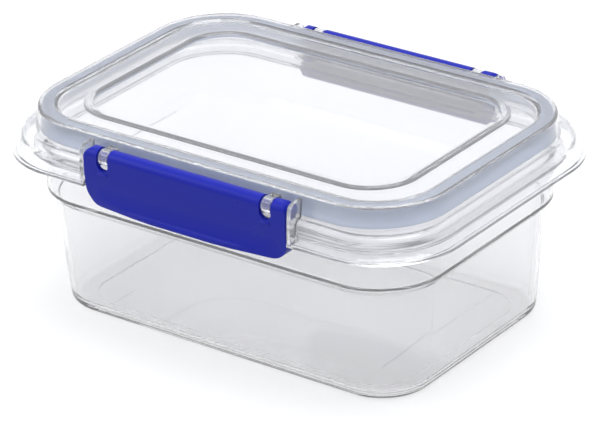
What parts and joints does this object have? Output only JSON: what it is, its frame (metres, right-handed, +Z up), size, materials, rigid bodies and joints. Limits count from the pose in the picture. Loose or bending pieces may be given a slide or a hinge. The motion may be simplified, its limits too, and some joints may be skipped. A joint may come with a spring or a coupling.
{
  "type": "snap lid food container",
  "caption": "Clear rectangular food container with drafted walls, a gasketed clear lid and a swinging snap clip on each long side.",
  "frame": {"origin": "bottom centre of the container, on the plane that its foot ring stands on", "axes": "+X along the long sides, +Y towards the back clip, +Z up"},
  "size_m": [0.18, 0.1314, 0.075],
  "materials": {
    "clear_base": "clear polished plastic",
    "clear_lid": "clear polished plastic",
    "gasket": "translucent blue silicone",
    "clip": "glossy blue plastic"
  },
  "bodies": {
    "base": {"base": "clear_base"},
    "lid": {"lid": "clear_lid", "seal": "gasket"},
    "front_clip": {"front_clip": "clip"},
    "back_clip": {"back_clip": "clip"}
  },
  "joints": [
    {"name": "lid_lift", "type": "slide", "parent": "base", "child": "lid", "axis": [0, 0, 1], "range_m": [0, 0.045]},
    {"name": "front_clip_swing", "type": "hinge", "parent": "lid", "child": "front_clip", "pos_m": [0, -0.06051, 0.0703], "axis": [-1, 0, 0], "range_deg": [0, 140]},
    {"name": "back_clip_swing", "type": "hinge", "parent": "lid", "child": "back_clip", "pos_m": [0, 0.06051, 0.0703], "axis": [1, 0, 0], "range_deg": [0, 140]}
  ],
  "couplings": [
    {"joint": "front_clip_swing", "follows": "lid_lift", "rad_per_m": 54.2},
    {"joint": "back_clip_swing", "follows": "lid_lift", "rad_per_m": 54.2}
  ]
}
